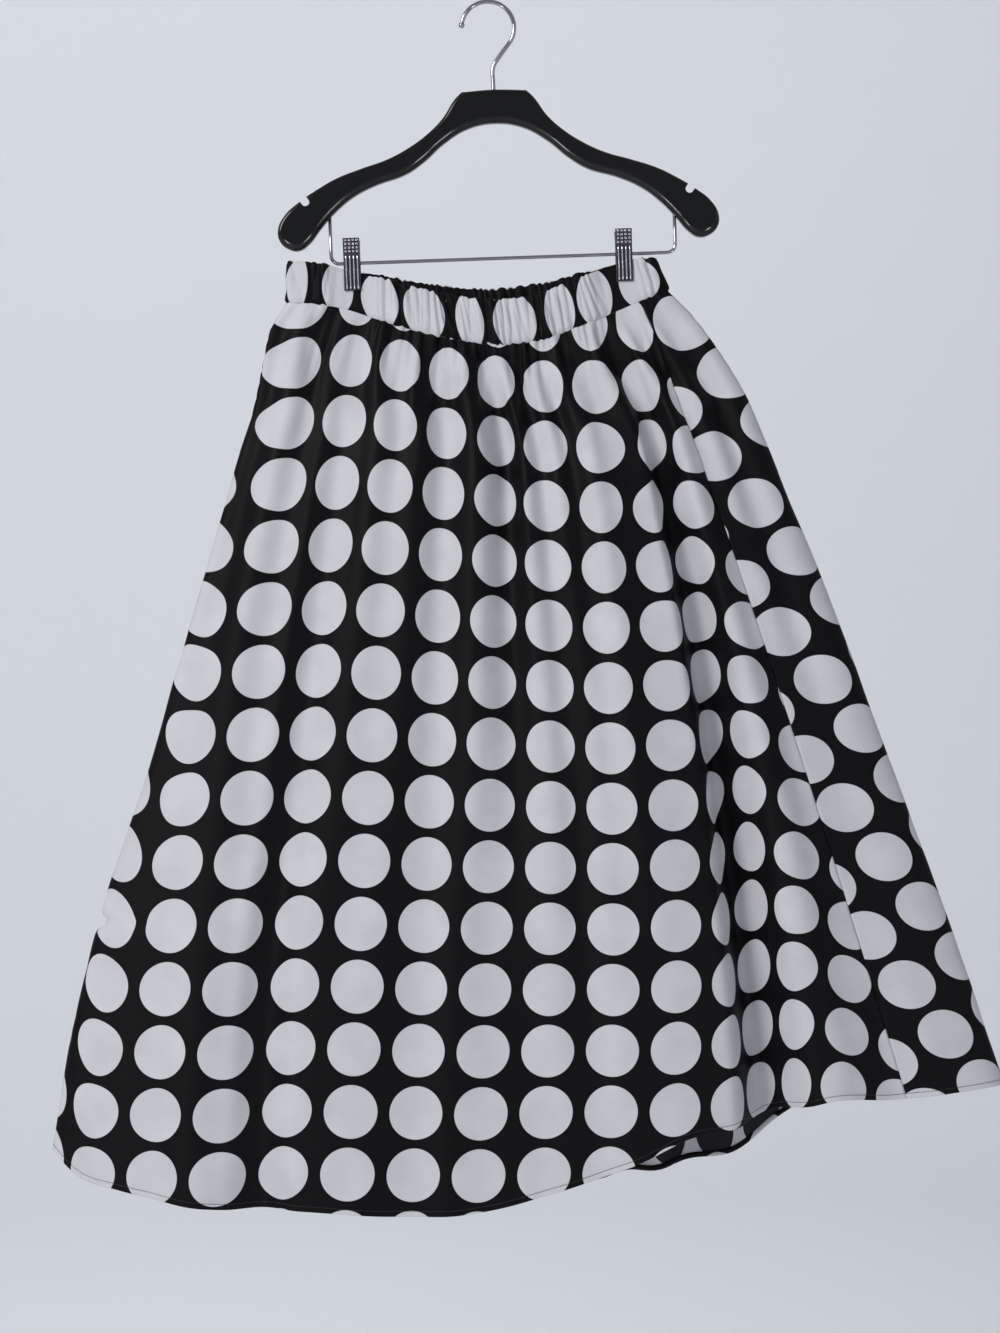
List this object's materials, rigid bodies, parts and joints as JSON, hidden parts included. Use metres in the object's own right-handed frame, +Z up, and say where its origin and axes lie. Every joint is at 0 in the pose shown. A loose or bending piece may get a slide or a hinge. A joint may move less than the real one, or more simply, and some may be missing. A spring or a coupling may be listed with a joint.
{
  "type": "gathered midi skirt on a clip hanger",
  "caption": "Gathered A-line midi skirt with an elastic waistband, hung by spring clips from the bar of a shaped wooden hanger.",
  "frame": {"origin": "inside the crown of the hanger's hook, where a rail carries it", "axes": "+Z up, the skirt's front faces -Y, +X to the right of someone looking at the front"},
  "size_m": [0.902, 0.157, 1.1463],
  "materials": {
    "dotted_cloth": "black two-sided weave with large off-white dots, low sheen",
    "lacquered_wood": "glossy black lacquer",
    "chromed_wire": "polished chrome",
    "chromed_plate": "polished chrome"
  },
  "bodies": {
    "root": {"skirt_front": "dotted_cloth", "skirt_back": "dotted_cloth", "waistband": "dotted_cloth", "hanger_body": "lacquered_wood", "hanger_hook": "chromed_wire", "clip_bar": "chromed_wire", "clip_left_front_jaw": "chromed_plate", "clip_left_back_jaw": "chromed_plate", "clip_left_barrel": "chromed_plate", "clip_right_front_jaw": "chromed_plate", "clip_right_back_jaw": "chromed_plate", "clip_right_barrel": "chromed_plate"}
  },
  "joints": []
}
